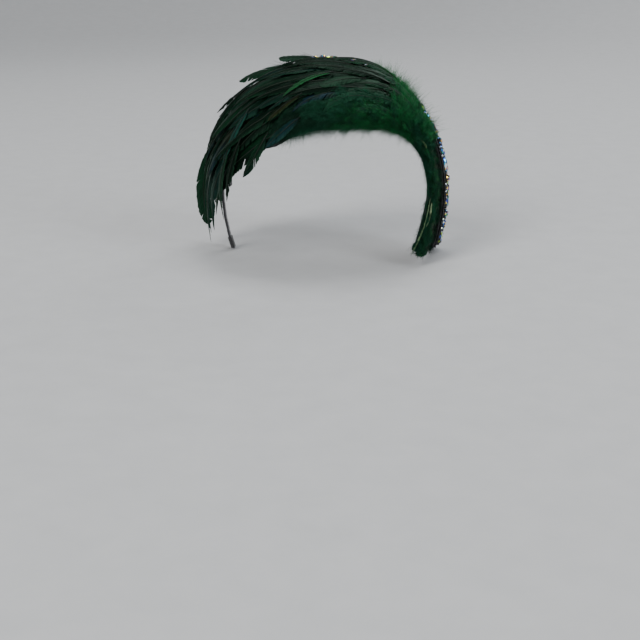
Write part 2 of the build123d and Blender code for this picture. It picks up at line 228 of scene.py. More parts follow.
def grid_quads(rows, columns, closed=False):
    """Quads of a grid of points. A closed grid joins its last column to its first."""
    j, i = np.meshgrid(np.arange(rows - 1), np.arange(columns if closed else columns - 1), indexing="ij")
    n = (i + 1) % columns
    quads = np.stack([j * columns + i, j * columns + n, (j + 1) * columns + n, (j + 1) * columns + i], -1)
    return quads.reshape(-1, 4)


class Batch:
    """Arrays of several shapes, joined into one mesh."""

    def __init__(self):
        self.verts, self.quads, self.tris, self.data, self.count = [], [], [], [], 0

    def add(self, verts, quads, tris=None, data=None):
        verts = verts.reshape(-1, 3)
        self.verts.append(verts)
        self.quads.append(quads + self.count)
        if tris is not None:
            self.tris.append(tris + self.count)
        self.data.append(np.zeros_like(verts) if data is None else data.reshape(-1, 3))
        self.count += len(verts)

    def grid(self, points, data=None, closed=False, way=1):
        """Adds a grid of points. A closed one gets end caps, and a way of -1 turns it over."""
        rows, columns = points.shape[:2]
        self.add(points, grid_quads(rows, columns, closed)[:, ::way],
                 end_caps(rows, columns) if closed else None, data)

    def piece(self, name, material, slot, replaces, thick=None):
        tris = np.concatenate(self.tris) if self.tris else None
        made = new_piece(name, np.concatenate(self.verts), np.concatenate(self.quads), tris,
                         np.concatenate(self.data))
        if thick:
            skin = made.modifiers.new("thickness", "SOLIDIFY")
            skin.thickness = thick
            skin.offset = -1
            apply_modifiers(made)
        return dress(made, material, replaces)


def apply_modifiers(piece):
    """Makes the modifiers' result the piece's own mesh."""
    graph = bpy.context.evaluated_depsgraph_get()
    mesh = bpy.data.meshes.new_from_object(piece.evaluated_get(graph))
    piece.modifiers.clear()
    piece.data = mesh


def dress(piece, material, replaces):
    """Gives a piece its material and its body, and hides the CAD nodes that it stands for."""
    piece.data.materials.clear()
    piece.data.materials.append(material)
    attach(piece, "root")
    if replaces:
        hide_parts(*replaces)
    return piece


def detail_rows(along, across, own=0.0):
    """Vectors from three arrays of numbers."""
    return np.stack(np.broadcast_arrays(along, across, own), -1)


def end_caps(rings, sides):
    """Triangles that close the two ends of a tube of rings."""
    i = np.arange(1, sides - 1)
    first = np.stack([0 * i, i, i + 1], -1)
    return np.concatenate([first, (rings - 1) * sides + first[:, [0, 2, 1]]])


def tube(points, radii, normals, sides):
    """Points, quads and end caps of a round tube along a line of points."""
    ahead = unit(np.gradient(points, axis=0))
    side = unit(np.cross(ahead, normals))
    up = np.cross(side, ahead)
    turn = np.arange(sides) * 2 * pi / sides
    ring = np.cos(turn)[None, :, None] * side[:, None] + np.sin(turn)[None, :, None] * up[:, None]
    verts = points[:, None] + ring * np.reshape(radii, (-1, 1, 1))
    quads = grid_quads(len(points), sides, closed=True)
    return verts.reshape(-1, 3), quads, end_caps(len(points), sides)[:, [0, 2, 1]]


# --- Materials ---

def node(tree, kind, inputs=None, **settings):
    """A shader node. An input is a number, a colour or another node's output."""
    made = tree.nodes.new("ShaderNode" + kind)
    for key, value in settings.items():
        setattr(made, key, value)
    for key, value in (inputs or {}).items():
        if isinstance(value, bpy.types.NodeSocket):
            tree.links.new(value, made.inputs[key])
        else:
            made.inputs[key].default_value = value
    return made


def maths(tree, operation, a, b=0.0, c=0.0):
    return node(tree, "Math", {0: a, 1: b, 2: c}, operation=operation).outputs[0]


def times(tree, a, b):
    return maths(tree, "MULTIPLY", a, b)


def muladd(tree, a, b, c):
    return maths(tree, "MULTIPLY_ADD", a, b, c)


def scaled(tree, vector, factors):
    return node(tree, "VectorMath", {0: vector, 1: factors}, operation="MULTIPLY").outputs[0]


def noise(tree, vector, scale, detail, rough):
    return node(tree, "TexNoise", {"Vector": vector, "Scale": scale, "Detail": detail,
                                   "Roughness": rough}).outputs["Fac"]


def ramp(tree, factor, stops, ease="LINEAR"):
    """A colour ramp through stops of (position, (r, g, b))."""
    made = node(tree, "ValToRGB", {"Fac": factor})
    band = made.color_ramp
    band.interpolation = ease
    while len(band.elements) < len(stops):
        band.elements.new(0.5)
    for element, (place, colour) in zip(band.elements, stops):
        element.position = place
        element.color = (*colour, 1)
    return made.outputs["Color"]


def blend(tree, factor, a, b, mode="MIX"):
    return node(tree, "Mix", {0: factor, 6: a, 7: b}, data_type="RGBA", blend_type=mode).outputs[2]


def remap(tree, value, low, high):
    return node(tree, "MapRange", {"Value": value, "To Min": low, "To Max": high}).outputs[0]


def material(name, **constants):
    """A new material: its tree and its principled shader, with constant sockets set."""
    made = bpy.data.materials.new(name)
    made.use_nodes = True
    tree = made.node_tree
    shader = tree.nodes["Principled BSDF"]
    for key, value in constants.items():
        shader.inputs[key.replace("_", " ")].default_value = value
    return made, tree, shader


def detail_of(tree):
    """The detail attribute and its three numbers."""
    detail = node(tree, "Attribute", attribute_name="detail").outputs["Vector"]
    return detail, *node(tree, "SeparateXYZ", {0: detail}).outputs


def place_of(tree):
    return node(tree, "TexCoord").outputs["Object"]


def shaded(tree, colour, grain, low, high):
    """A colour made darker and lighter by a grain."""
    shade = remap(tree, grain, low, high)
    grey = node(tree, "CombineXYZ", {0: shade, 1: shade, 2: shade}).outputs[0]
    return blend(tree, 1.0, colour, grey, "MULTIPLY")


def connect(tree, shader, colour, grain, low, high, height=None, strength=0.0, depth=0.0):
    """Links a colour, a roughness that follows a grain, and a bump of a depth in millimetres."""
    tree.links.new(colour, shader.inputs["Base Color"])
    tree.links.new(remap(tree, grain, low, high), shader.inputs["Roughness"])
    if height is not None:
        bump = node(tree, "Bump", {"Height": height, "Strength": strength, "Distance": depth * MM})
        tree.links.new(bump.outputs[0], shader.inputs["Normal"])


# edge is the colour of the painted highlight along the vane edges.
def vane_material(name, stops, metallic=0.2, roughness=0.36, edge=(0.01, 0.042, 0.02)):
    """A feather vane: patches of iridescent colour, streaks along the barbs and a painted highlight on the
    edges.

    The detail attribute holds the place along the shaft in millimetres, the place across the
    vane as a share of its half width, and a random number for each feather.
    """
    made, tree, shader = material(name, Metallic=metallic, Specular_IOR_Level=0.09)
    shader.inputs["Specular Tint"].default_value = (0.45, 1.0, 0.7, 1)
    detail, along, across, own = detail_of(tree)
    patch = noise(tree, scaled(tree, detail, (0.035, 0.45, 61.0)), 1.0, 3.0, 0.6)
    streak = noise(tree, scaled(tree, detail, (1.7, 0.5, 37.0)), 1.0, 2.0, 0.7)
    mixed = muladd(tree, own, 0.7, muladd(tree, patch, 0.8, -0.28))
    # Painted highlight: near the edges the colour blends into the lighter edge colour, standing in for
    # light caught along the vane edges.
    painted_edge_highlight = maths(tree, "POWER", maths(tree, "ABSOLUTE", across), 5.0)
    colour = blend(tree, times(tree, painted_edge_highlight, 0.6), ramp(tree, mixed, stops), (*edge, 1))
    barbs = maths(tree, "SINE", times(tree, along, 2 * pi * MM / BARB_PITCH))
    connect(tree, shader, shaded(tree, colour, streak, 0.2, 1.7), streak, roughness - 0.08,
            roughness + 0.16, muladd(tree, barbs, 0.35, streak), 0.35, 0.12)
    return made


def fibre_material(name, stops):
    """Loose barbs: their colour runs from root to tip and varies from fibre to fibre."""
    made, tree, shader = material(name, Specular_IOR_Level=0.15, Sheen_Weight=0.06)
    shader.inputs["Sheen Tint"].default_value = (0.15, 1.0, 0.4, 1)
    detail, along, _, own = detail_of(tree)
    grain = noise(tree, scaled(tree, detail, (2.0, 0.6, 83.0)), 1.0, 2.0, 0.6)
    place = muladd(tree, own, 0.45, times(tree, along, 0.55))
    connect(tree, shader, shaded(tree, ramp(tree, place, stops), grain, 0.55, 1.4), grain, 0.5, 0.75)
    return made


def cloth_material(name, dark, light, warp, weft, roughness, sheen, depth, twill=0.0, gloss=0.25):
    """Woven cloth. Its threads run along the detail attribute, which is in millimetres."""
    made, tree, shader = material(name, Specular_IOR_Level=gloss, Sheen_Weight=sheen, Sheen_Roughness=0.4)
    detail, along, across, _ = detail_of(tree)
    slant = muladd(tree, across, twill, along)
    a = maths(tree, "SINE", times(tree, slant, 2 * pi / warp))
    b = maths(tree, "SINE", times(tree, across, 2 * pi / weft))
    weave = muladd(tree, maths(tree, "MAXIMUM", a, b), 0.5, 0.5)
    wear = noise(tree, scaled(tree, detail, (0.12, 0.12, 1.0)), 1.0, 4.0, 0.6)
    tone = muladd(tree, weave, 0.5, times(tree, wear, 0.5))
    connect(tree, shader, ramp(tree, tone, [(0.2, dark), (0.8, light)]), wear, roughness - 0.1,
            roughness + 0.1, weave, 0.5, depth)
    return made


def solid_cloth_material(name, dark, light, scale, roughness=0.85, depth=0.3):
    """Felt, cord or buckram: fibres and pores from the place in space."""
    made, tree, shader = material(name, Sheen_Weight=0.1)
    fibres = noise(tree, place_of(tree), scale, 5.0, 0.7)
    cells = node(tree, "TexVoronoi", {"Vector": place_of(tree), "Scale": scale * 0.8}).outputs[0]
    tone = muladd(tree, cells, 0.4, times(tree, fibres, 0.7))
    connect(tree, shader, ramp(tree, tone, [(0.25, dark), (0.75, light)]), fibres,
            roughness - 0.1, roughness + 0.08, tone, 0.6, depth)
    return made


def metal_material(name, colour, roughness, metallic=0.9):
    """Plated metal with fine scuffs and a little dulling."""
    made, tree, shader = material(name, Metallic=metallic)
    scuff = noise(tree, place_of(tree), 900.0, 4.0, 0.7)
    tint = tuple(min(1.0, c * 1.9 + 0.01) for c in colour)
    connect(tree, shader, ramp(tree, scuff, [(0.3, colour), (0.75, tint)]), scuff,
            roughness - 0.06, roughness + 0.14, scuff, 0.25, 0.03)
    return made


def quill_material(name, root, tip):
    """Keratin quill: it pales along its length, with long streaks and a soft gloss."""
    made, tree, shader = material(name, Specular_IOR_Level=0.2)
    detail, _, share, _ = detail_of(tree)
    streak = noise(tree, scaled(tree, detail, (0.25, 9.0, 53.0)), 1.0, 3.0, 0.6)
    tone = muladd(tree, share, 0.6, times(tree, streak, 0.5))
    connect(tree, shader, ramp(tree, tone, [(0.15, root), (0.85, tip)]), streak, 0.32, 0.56,
            streak, 0.3, 0.05)
    return made


def crystal_material(name, stops, seed):
    """Foil-backed cut glass with a rainbow coating: each facet gets a painted flash of colour."""
    made, tree, shader = material(name, Metallic=0.82, Roughness=0.07, Coat_Weight=1.0, Coat_Roughness=0.03)
    facet = node(tree, "NewGeometry").outputs["True Normal"]
    snapped = node(tree, "VectorMath", {0: facet, 1: (0.031, 0.029, 0.033)}, operation="SNAP").outputs[0]
    pick = node(tree, "TexWhiteNoise", {"Vector": snapped, "W": seed}, noise_dimensions="4D")
    # Painted flashes: each facet gets one fixed colour, partly the coating's tint and partly a painted
    # reflection of light.
    colour = ramp(tree, pick.outputs["Value"], stops, "CONSTANT")
    film = noise(tree, place_of(tree), 420.0, 2.0, 0.5)
    coating_and_painted_flash = node(tree, "HueSaturation", {
        "Hue": remap(tree, film, 0.42, 0.58), "Color": colour}).outputs[0]
    tree.links.new(coating_and_painted_flash, shader.inputs["Base Color"])
    return made


# --- Feathers ---

NEAR_BLACK = (0.001, 0.002, 0.0013)
DEEP_GREEN = (0.0014, 0.007, 0.0032)
GREEN = (0.003, 0.022, 0.009)
TEAL = (0.003, 0.017, 0.0145)
BLUE = (0.005, 0.015, 0.027)
BRONZE = (0.022, 0.024, 0.008)
LEAF = (0.01, 0.09, 0.026)
MOSS = (0.011, 0.03, 0.017)
SEA = (0.01, 0.05, 0.042)
SPRUCE = (0.003, 0.03, 0.014)
SAGE = (0.08, 0.15, 0.065)
CREAM = (0.26, 0.34, 0.2)

COLUMNS = np.array([0.0, 0.22, 0.44, 0.64, 0.8, 0.92, 1.0])


def outline(t, tip, point):
    """The half width of a vane along its shaft, as a share of its widest."""
    swell = VANE_ROOT + (1 - VANE_ROOT) * np.sin(np.minimum(t / tip, 1) * pi / 2) ** 0.8
    close = np.clip((t - tip) / (1 - tip), 0, 1)
    return swell * np.maximum(1 - close**2.2, 0) ** point


def feather(vanes, shafts, places, half_width, rng, tip, point, roll, splits, ragged=0.07,
            shaft=0.7 * MM, lean=1.25, pitch=BARB_PITCH):
    """Adds one feather to two batches: its barbs to vanes and its tapered shaft to shafts.

    places(t) gives angles, depths and lifts along the shaft, from root to tip.
    """
    own = rng.random()
    t = np.linspace(0, 1, 161)
    place = places(t)
    line = seat(*place)
    ahead = unit(np.gradient(line, axis=0))
    side = unit(np.cross(ahead, outward(*place)))
    up = np.cross(side, ahead)
    twist = np.radians(roll + rng.normal(0, 4) * t)[:, None]
    side, up = side * np.cos(twist) + up * np.sin(twist), up * np.cos(twist) - side * np.sin(twist)
    length = np.linalg.norm(np.diff(line, axis=0), axis=1).sum()

    rows = max(int(length / pitch), 30)
    start = np.linspace(0.03, 0.996, rows)
    barb = np.arange(rows) // 2
    ridge = np.where(np.arange(rows) % 2, -1.0, 1.0)
    forward = min(lean * half_width / length, 0.22)
    halves, skip = [], []
    for hand in (-1, 1):
        trimmed = 1 - ragged * np.abs(rng.normal(0, 1, rows // 2 + 1))[barb]
        trimmed *= 1 - 0.05 * (ridge < 0)
        slow = np.interp(start, np.linspace(0, 1, 14), rng.normal(0, 1, 14))
        clump = np.interp(start, np.linspace(0, 1, 40), rng.normal(0, 1, 40))
        u = COLUMNS[None, :]
        at = start[:, None] + forward * u * (1 - start[:, None] ** 4) * (1 + 0.06 * slow[:, None])
        drop = np.zeros_like(at)
        gaps = np.zeros((rows, len(COLUMNS)), bool)
        for centre in rng.uniform(0.3, 0.97, splits):
            row = int(centre * rows) // 2 * 2 - 1
            depth = rng.uniform(0.25, 0.75)
            open_by = rng.uniform(0.004, 0.014)
            behind = np.arange(rows)[:, None] - row
            reach = np.clip((u - depth) / (1 - depth), 0, 1)
            fade = np.exp(-np.abs(behind) / (0.05 * rows))
            way = np.where(behind > 0, 1, -1)
            at = at + way * open_by * reach * fade
            drop = drop + way * rng.uniform(-0.4, 0.4) * MM * reach * fade
            gaps[max(row, 0)] |= (COLUMNS >= depth)
        at = np.clip(at, 0, 1)
        wide = half_width * outline(at, tip, point) * trimmed[:, None]
        height = -VANE_CUP * wide * u**2 + drop + (0.05 * ridge[:, None] + 0.14 * clump[:, None] * u) * MM
        halves.append((at, hand * wide * u, height))
        skip.append(gaps)
    at, x, h = (np.concatenate([left[:, :0:-1], right], 1) for left, right in zip(*halves))
    across = np.concatenate([-COLUMNS[:0:-1], COLUMNS])

    def along(values, at):
        return np.stack([np.interp(at, t, values[:, k]) for k in range(3)], -1)

    verts = along(line, at) + along(side, at) * x[..., None] + along(up, at) * h[..., None]
    width = len(across)
    quads = grid_quads(rows, width).reshape(rows - 1, width - 1, 4)
    keep = np.ones((rows - 1, width - 1), bool)
    inner = len(COLUMNS) - 1
    keep[:, inner:] &= ~skip[1][:-1, 1:]
    keep[:, :inner] &= ~skip[0][:-1, :0:-1]
    detail = detail_rows(start[:, None] * length / MM, across, own)
    vanes.add(verts, quads[keep], data=detail)

    s = np.linspace(0, 0.97, 44)
    above = unit(along(up, s))
    radii = shaft * (1 - 0.85 * s) + 0.05 * MM
    points, quads, caps = tube(along(line, s) + above * radii[:, None] * 0.35, radii, above, 7)
    data = np.repeat(detail_rows(s * length / MM, s, own), 7, axis=0)
    shafts.add(points, quads, caps, data)


def row_route(root, tip, shares, bow, lift, flare, arch):
    """The route of a coque feather over the field, as a function of 0 to 1."""
    def places(t):
        angle = root + (tip - root) * t
        share = shares[0] + (shares[1] - shares[0]) * t + bow * np.sin(pi * t)
        height = climb(angle, share, root) + flare * t**4
        height = height + arch * np.clip(share, 0, 1) ** 1.5 * np.sin(pi * t)
        return angle, field_depth(angle, share), ROOT_LIFT + lift + height
    return places


def coque_rows(looks, quill):
    for row, (root, tip, count, width, flare, arch, fan) in enumerate(COQUE_ROWS):
        rng = np.random.default_rng(100 + row)
        vanes, shafts = Batch(), Batch()
        for i in rng.permutation(count):
            share = (i + 0.5) / count + rng.normal(0, 0.15) / count
            shares = (fan + (1 - fan) * share + rng.normal(0, 0.015), share)
            places = row_route(root + rng.normal(0, 2.0), max(tip + rng.normal(0, 6), LOWEST_TIP), shares,
                               rng.normal(0, 0.03), (0.7 * (i % 2) + rng.uniform(-0.3, 0.3)) * MM,
                               flare * rng.uniform(0.3, 1.3) * MM, arch * MM)
            half = width / 2 * rng.uniform(0.78, 1.15) * MM
            feather(vanes, shafts, places, half, rng, point=rng.uniform(0.6, 1.1),
                    tip=rng.uniform(0.42, 0.66), roll=6 + rng.normal(0, 6),
                    splits=rng.integers(2, 5))
        number = row + 1
        vanes.piece(f"coque_row_{number}_barbs", looks[row % len(looks)],
                    "coque_vane", [f"coque_vanes_row_{number}"], thick=VANE_THICKNESS)
        shafts.piece(f"coque_row_{number}_quills", quill, "coque_quill", [f"coque_shafts_row_{number}"])


def curve_route(start, bend, end):
    """A route through three places: a quadratic curve in angle, depth and lift (millimetres)."""
    start, bend, end = (np.array([a, d * MM, h * MM]) for a, d, h in (start, bend, end))

    def places(t):
        t = np.asarray(t)[..., None]
        mix = (1 - t) ** 2 * start + 2 * t * (1 - t) * bend + t**2 * end
        return mix[..., 0], mix[..., 1], mix[..., 2]
    return places


# Single feathers by vane: start, bend and end of each as (angle, depth, lift), its width in mm,
# how pointed it is, where it starts to close and its roll in degrees
SINGLES = {
    "dark": [
        ((-62, 14, 9), (-93, 16, 25), (-103, 10, 18), 19, 0.5, 0.6, 62),
        ((-12, 16, 10), (-32, 16, 19), (-42, 14, 24.5), 14, 0.5, 0.6, 30),
        ((-34, 10, 12), (-50, 10, 20), (-58, 10, 23), 9, 1.1, 0.45, 30),
        ((0, 14, 13), (-14, 14, 17), (-22, 14, 22.5), 17, 0.35, 0.75, 24),
        ((-44, 0, 16), (-60, 0, 18), (-73, 1, 18.5), 12, 0.8, 0.6, 22),
        ((-40, -8, 17), (-57, -8, 18.5), (-70, -6, 18.5), 13, 0.7, 0.6, 12),
        ((-62, -58, 13.5), (-82, -52, 12), (-97, -60, 11), 9, 1.6, 0.35, 0),
        ((-40, -78, 11), (-57, -85, 11), (-71, -80, 11), 11, 0.9, 0.55, 0),
        ((-54, -64, 13.2), (-70, -67, 11.8), (-88, -69, 12.4), 9, 1.0, 0.5, 0)],
    "leaf": [((3, -38, 13), (-13, -49, 13.5), (-25, -60, 13), 4.5, 1.2, 0.5, 10)],
    # The grey, bronze, blue and teal feathers carry painted sheen: their vane colours are partly the
    # feathers' own iridescence and partly painted sheen and reflections of the lights.
    "grey": [((19, -36, 12), (8, -48, 12.5), (-4, -58, 12.5), 12, 0.5, 0.62, 0),
             ((-63, -58, 14), (-79, -57, 12.8), (-91, -61, 12.6), 7, 0.8, 0.6, 0)],
    "bronze": [((-14, -62, 12), (-26, -68, 12.5), (-37, -72, 12.5), 8, 0.9, 0.55, 0)],
    "blue": [((-17, -79, 10.3), (-32, -86, 11), (-47, -85, 11.4), 10, 0.8, 0.55, 0)],
    "teal": [((-42, -50, 15), (-58, -59, 14.5), (-72, -57, 14), 7, 1.0, 0.5, 10)],
    "plume": [((40, -64, 12), (29, -68, 15.5), (17, -80, 13.5), 10, 0.8, 0.6, 10),
              ((31, -62, 13), (15, -64, 16.5), (-3, -82, 12.5), 11, 0.8, 0.6, 8),
              ((44, -52, 13), (33, -54, 16), (20, -66, 14.5), 11, 0.8, 0.6, 12),
              ((48, -36, 13), (36, -38, 17), (23, -48, 16), 12, 0.8, 0.6, 10),
              ((49, -22, 13), (38, -22, 17.5), (24, -28, 17), 12, 0.8, 0.6, 8)],
    "pale": [((87, -53, 7.5), (101, -63, 8), (113, -68, 6.5), 2.6, 0.8, 0.6, 0),
             ((58, -53, 11), (61, -50.5, 12.2), (63.5, -49.5, 10.5), 3.4, 0.7, 0.6, 50),
             ((90, -54, 8.5), (95, -57, 9.6), (100, -60, 8.5), 3.8, 0.7, 0.6, 50)],
    "rear": [((-15, 30, 7), (-28, 32, 11), (-44, 33, 10), 16, 0.6, 0.6, 0),
             ((-15, 24, 7.5), (-29, 26, 12), (-46, 28, 11), 17, 0.6, 0.6, 6),
             ((-14.8, 17, 8), (-30, 20, 13), (-48, 22, 12), 17, 0.7, 0.6, 8),
             ((-22, 33, 6.5), (-38, 35, 9), (-56, 36, 8.5), 14, 0.8, 0.55, 0)],
}
SOFT = {"plume": (0.3, 0.25), "pale": (0.2, 0.1)}


def single_feathers(vanes_by_name, quill):
    """Single feathers that hang past the rows or lie over them."""
    rng = np.random.default_rng(7)
    shafts = Batch()
    for name, feathers in SINGLES.items():
        vanes = Batch()
        ragged, shaft = SOFT.get(name, (0.05, 0.42))
        for start, bend, end, width, point, tip, roll in feathers:
            feather(vanes, shafts, curve_route(start, bend, end), width / 2 * MM, rng, tip=tip,
                    point=point, roll=roll, splits=3, ragged=ragged, shaft=shaft * MM)
        vanes.piece(f"single_feather_barbs_{name}", vanes_by_name[name], "coque_vane",
                    ["drop_feather_vanes"] if name == "dark" else (), thick=VANE_THICKNESS)
    shafts.piece("single_feather_quills", quill, "coque_quill", ["drop_feather_shafts"])


def side_hackles(vane, dark, quill):
    """Ragged hackles down the wearer's left side: dark ones at the rear, green ones in front."""
    rng = np.random.default_rng(21)
    layers = [(34, 1.1, 0.46, 6.2, 3.6), (26, 0.62, 0.1, 7.4, 3.4), (38, 0.36, -0.08, 8.2, 2.6)]
    barbs, shafts = [Batch() for _ in layers], Batch()
    for number, (count, begin, finish, lift, half) in enumerate(layers):
        for root in np.linspace(56, 110, count):
            tip = min(root + rng.uniform(3, 9), 113)
            near, rear = front(root), trim_front(root)
            low = near + (rear - near) * (begin + rng.normal(0, 0.04))
            high = front(tip) + (rear - near) * (finish + rng.normal(0, 0.05))
            height = lift + rng.uniform(-0.3, 0.3)
            route = curve_route((root, low / MM, height),
                                ((root + tip) / 2, (low + high) / 2 / MM, height + 2.2),
                                (tip, high / MM, height + rng.uniform(-1.8, 0.6)))
            feather(barbs[number], shafts, route, half * rng.uniform(0.7, 1.15) * MM, rng, tip=0.4,
                    point=1.2, roll=rng.normal(0, 16), splits=5, ragged=0.3, shaft=0.26 * MM,
                    lean=2.6, pitch=0.35 * MM)
    for batch, place, look in zip(barbs[::-1], ("front", "middle", "rear"), (vane, dark, dark)):
        batch.piece(f"side_hackle_barbs_{place}", look, "hackle_vane",
                    ["side_hackle_vanes"] if place == "front" else (), thick=HACKLE_THICKNESS)
    shafts.piece("side_hackle_quills", quill, "hackle_quill", ["side_hackle_shafts"])


# --- Down ---

def fibres(batch, roots, heads, lengths, radius, rng, own):
    """Adds loose barbs: thin three-sided tapered tubes that curl and droop as they grow."""
    count = len(roots)
    s = np.linspace(0, 1, FIBRE_SEGMENTS + 1)[None, :, None]
    lengths = lengths[:, None, None]
    sway = rng.normal(0, FIBRE_CURL, (count, 1, 3))
    points = (roots[:, None] + heads[:, None] * lengths * s
              + (sway - np.array([0, 0, FIBRE_DROOP])) * lengths * s**2 * 0.5)
    ahead = unit(np.gradient(points, axis=1))
    side = unit(np.cross(ahead, rng.normal(0, 1, (count, 1, 3))))
    up = np.cross(ahead, side)
    turn = np.arange(3) * 2 * pi / 3
    ring = (np.cos(turn)[None, None, :, None] * side[:, :, None]
            + np.sin(turn)[None, None, :, None] * up[:, :, None])
    verts = points[:, :, None] + ring * radius * (1 - 0.82 * s[..., None])
    end = FIBRE_SEGMENTS * 3
    offsets = (np.arange(count) * (end + 3))[:, None, None]
    quads = (grid_quads(FIBRE_SEGMENTS + 1, 3, closed=True)[None] + offsets).reshape(-1, 4)
    caps = (np.array([[0, 2, 1], [end, end + 1, end + 2]])[None] + offsets).reshape(-1, 3)
    data = detail_rows(s[..., 0][:, :, None], np.arange(3) / 3.0, own[:, None, None])
    batch.add(verts, quads, caps, data)


def down(name, fibre, count, rng, region, length, grow, replaces=(), radius=0.1, per_tuft=30,
         clump=0.7, fade=((-90, 1), (90, 1))):
    """A patch of down. region(rng, n) gives angles, depths and lifts of the tufts.

    grow is how far each fibre heads outward, along the arch (minus angle) and forward, and the
    spread about that. The fibres of one tuft share a heading and close up towards its tip.
    fade is how much of their length the tufts keep, as (angle, share). The radius and the
    lengths are in millimetres.
    """
    tufts = count // per_tuft
    pick = rng.integers(0, tufts, count)
    angle, depth, lift = region(rng, tufts)
    middle = seat(angle, depth, lift)
    normal = outward(angle, depth, lift)
    flow = unit(seat(angle - 0.5, depth, lift) - seat(angle + 0.5, depth, lift))
    forth = unit(seat(angle, depth - 0.5 * MM, lift) - seat(angle, depth + 0.5 * MM, lift))
    out, sweep, ahead, scatter = grow
    heads = unit(normal * out + flow * sweep + forth * ahead + rng.normal(0, scatter, (tufts, 3)))
    tall = (rng.uniform(*length, tufts) * np.interp(angle, *zip(*fade)) * MM)[pick, None]
    spot = rng.normal(0, 1.5, (count, 3)) * MM
    spot -= np.sum(spot * normal[pick], -1, keepdims=True) * normal[pick] * 0.8
    reach = heads[pick] * tall - spot * clump + rng.normal(0, 0.1, (count, 3)) * tall
    lengths = np.linalg.norm(reach, axis=-1) * rng.uniform(0.55, 1.1, count)
    batch = Batch()
    own = 0.65 * rng.random(tufts)[pick] + 0.35 * rng.random(count)
    fibres(batch, middle[pick] + spot, unit(reach), lengths, radius * MM, rng, own)
    batch.piece(name, fibre, "green_down", replaces)


def box_region(low, high, front_gap, rear_gap, low_lift, high_lift):
    """Roots between two angles, from front_gap behind the front edge to rear_gap before the
    trim, between two lifts (millimetres)."""
    def region(rng, n):
        angle = rng.uniform(low, high, n)
        near = front(angle) + front_gap * MM
        depth = near + (trim_front(angle) - rear_gap * MM - near) * rng.random(n)
        return angle, depth, rng.uniform(low_lift, high_lift, n) * MM
    return region


def edge_region(low, high, near, far, low_lift, high_lift, edge=front):
    """Roots along an edge, by default the front one, from near to far behind it (millimetres)."""
    def region(rng, n):
        angle = rng.uniform(low, high, n)
        depth = edge(angle) + rng.uniform(near, far, n) * MM
        return angle, depth, rng.uniform(low_lift, high_lift, n) * MM
    return region


def rear_region(*limits):
    """Roots along the front of the trim."""
    return edge_region(*limits, edge=trim_front)


